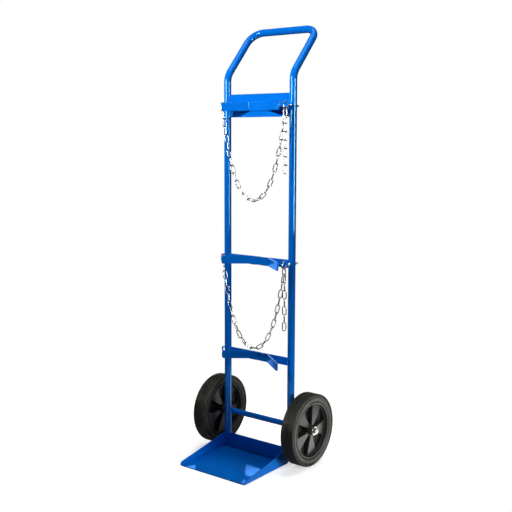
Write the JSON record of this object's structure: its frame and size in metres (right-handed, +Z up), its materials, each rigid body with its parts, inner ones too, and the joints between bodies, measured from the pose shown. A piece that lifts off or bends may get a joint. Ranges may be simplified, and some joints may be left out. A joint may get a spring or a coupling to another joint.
{
  "type": "gas cylinder cart",
  "caption": "Upright steel cart for a gas cylinder, with a toe plate, bent tube handle, trough cradles, hanging safety chains and solid rubber wheels.",
  "frame": {"origin": "on the floor, under the middle of the cart's bounding box", "axes": "+X to the right wheel (the hooks' side), +Y to the back (the handle's side), +Z up"},
  "size_m": [0.4682, 0.41, 1.4942],
  "materials": {
    "blue_paint": "gloss",
    "zinc": "bright zinc plate",
    "rubber": "matte",
    "rim_plastic": "satin moulded",
    "bush_plastic": "satin"
  },
  "bodies": {
    "frame": {"frame_tube": "blue_paint", "toe_plate": "blue_paint", "axle_tube": "blue_paint", "top_plate": "blue_paint", "middle_crossbar": "blue_paint", "lower_crossbar": "blue_paint", "upper_cradle": "blue_paint", "middle_cradle": "blue_paint", "lower_cradle": "blue_paint", "upper_chain_eye": "blue_paint", "middle_chain_eye": "blue_paint", "lower_chain_eye": "blue_paint", "upper_hook": "zinc", "upper_hook_front_nut": "zinc", "upper_hook_back_nut": "zinc", "upper_hooked_link": "zinc", "middle_hook": "zinc", "middle_hook_front_nut": "zinc", "middle_hook_back_nut": "zinc", "middle_hooked_link": "zinc", "axle_rod": "zinc", "left_spacer": "zinc", "left_washer": "zinc", "left_axle_nut": "zinc", "right_spacer": "zinc", "right_washer": "zinc", "right_axle_nut": "zinc"},
    "left_wheel": {"left_tyre": "rubber", "left_rim": "rim_plastic", "left_bush": "bush_plastic"},
    "right_wheel": {"right_tyre": "rubber", "right_rim": "rim_plastic", "right_bush": "bush_plastic"},
    "upper_chain": {"upper_chain": "zinc"},
    "upper_chain_tail": {"upper_chain_tail": "zinc"},
    "middle_chain": {"middle_chain": "zinc"},
    "middle_chain_tail": {"middle_chain_tail": "zinc"}
  },
  "joints": [
    {"name": "left_wheel_spin", "type": "hinge", "parent": "frame", "child": "left_wheel", "pos_m": [-0.1938, 0.07445, 0.125], "axis": [1, 0, 0], "continuous": true},
    {"name": "right_wheel_spin", "type": "hinge", "parent": "frame", "child": "right_wheel", "pos_m": [0.1938, 0.07445, 0.125], "axis": [1, 0, 0], "continuous": true},
    {"name": "upper_chain_swing", "type": "hinge", "parent": "frame", "child": "upper_chain", "pos_m": [-0.12364, 0.00393, 1.2295], "axis": [-0.9893, -0.0103, 0.1459], "range_deg": [-10, 15]},
    {"name": "upper_chain_tail_swing", "type": "hinge", "parent": "frame", "child": "upper_chain_tail", "pos_m": [0.1412, 0.00665, 1.1911], "axis": [-1, 0, 0], "range_deg": [-6, 20]},
    {"name": "middle_chain_swing", "type": "hinge", "parent": "frame", "child": "middle_chain", "pos_m": [-0.12364, 0.00393, 0.7045], "axis": [-0.9893, -0.0103, 0.1459], "range_deg": [-10, 15]},
    {"name": "middle_chain_tail_swing", "type": "hinge", "parent": "frame", "child": "middle_chain_tail", "pos_m": [0.1412, 0.00665, 0.6661], "axis": [-1, 0, 0], "range_deg": [-6, 20]}
  ]
}
